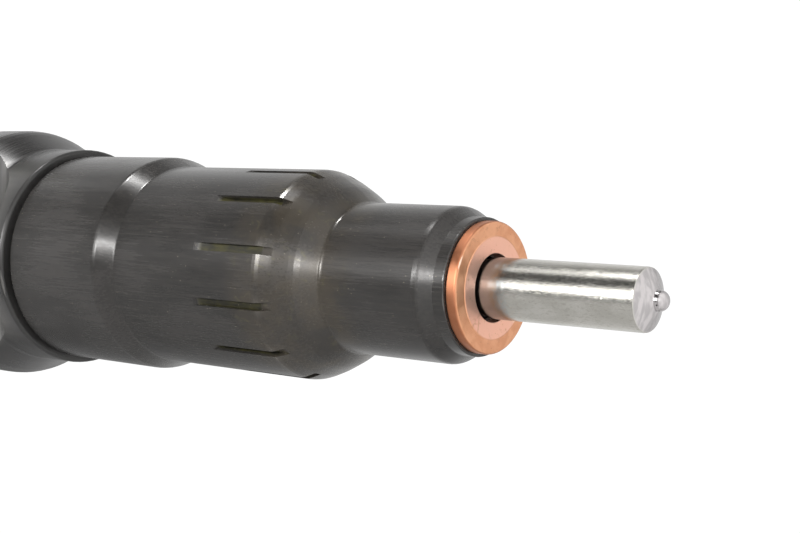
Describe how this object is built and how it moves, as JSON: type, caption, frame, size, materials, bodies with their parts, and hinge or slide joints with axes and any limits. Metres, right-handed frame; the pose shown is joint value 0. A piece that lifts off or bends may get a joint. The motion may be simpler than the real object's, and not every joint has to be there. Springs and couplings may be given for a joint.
{
  "type": "fuel injector",
  "caption": "Common-rail diesel fuel injector with a nozzle tip, copper sealing washer, slotted nozzle nut, steel body, side inlet and solenoid valve head.",
  "frame": {"origin": "injector axis in the sealing plane: the front face of the copper washer, which seats in the cylinder head", "axes": "+Z along the injector axis, away from the nozzle tip, towards the solenoid; +X along the high-pressure inlet; the spanner flats face +Y and -Y"},
  "size_m": [0.0583, 0.0354, 0.1927],
  "materials": {
    "nozzle_steel": "ground, satin",
    "tool_steel": "lapped, bright",
    "copper": "annealed copper, satin",
    "nut_steel": "dark burnished, satin gloss",
    "body_steel": "dark phosphated, satin",
    "spring_steel": "shot-peened, grey",
    "plated_steel": "zinc plated, satin",
    "soft_iron": "smooth, grey",
    "magnet_iron": "ground, dark grey",
    "rubber": "matt, moulded",
    "ptfe": "waxy",
    "seal_bronze": "turned",
    "bobbin_plastic": "moulded, glass filled",
    "copper_wire": "enamelled",
    "insulator": "laminated",
    "black_plastic": "moulded, fine grain"
  },
  "bodies": {
    "housing": {"nozzle_body": "nozzle_steel", "sealing_washer": "copper", "nozzle_nut": "nut_steel", "stop_disc": "tool_steel", "dowel_pins": "tool_steel", "nozzle_spring": "spring_steel", "spring_shim": "tool_steel", "injector_body": "body_steel", "inlet_connector": "plated_steel", "edge_filter": "tool_steel", "inlet_seal_ring": "soft_iron", "body_o_ring": "rubber", "backup_ring": "ptfe", "valve_piece": "tool_steel", "sleeve_seal_ring": "seal_bronze", "armature_guide": "tool_steel", "valve_clamp_screw": "body_steel", "armature_spring": "spring_steel", "lift_shim": "tool_steel", "magnet_core": "magnet_iron", "coil_bobbin": "bobbin_plastic", "coil_winding": "copper_wire", "coil_leads": "copper_wire", "valve_spring": "spring_steel", "spring_adjust_shim": "tool_steel", "solenoid_housing": "plated_steel", "solenoid_o_ring": "rubber", "solenoid_nut": "body_steel", "insulator_plate": "insulator", "terminal_cap": "black_plastic", "terminal_studs": "plated_steel", "stud_seals": "rubber", "terminal_washers": "plated_steel", "terminal_nuts": "plated_steel"},
    "needle_train": {"nozzle_needle": "tool_steel", "pressure_pin": "tool_steel", "control_plunger": "tool_steel"},
    "armature": {"armature_bolt": "tool_steel", "armature_clip": "spring_steel", "ball_guide": "tool_steel", "valve_ball": "tool_steel"},
    "armature_disc": {"armature_plate": "magnet_iron"}
  },
  "joints": [
    {"name": "needle_lift", "type": "slide", "parent": "housing", "child": "needle_train", "axis": [0, 0, 1], "range_m": [0, 0.00025], "stiffness_N_per_m": 30000, "deforming": ["nozzle_spring"]},
    {"name": "armature_lift", "type": "slide", "parent": "housing", "child": "armature", "axis": [0, 0, 1], "range_m": [0, 0.00005], "stiffness_N_per_m": 20000, "deforming": ["valve_spring"]},
    {"name": "disc_overtravel", "type": "slide", "parent": "armature", "child": "armature_disc", "axis": [0, 0, -1], "range_m": [0, 0.00003], "stiffness_N_per_m": 5000, "deforming": ["armature_spring"]}
  ]
}
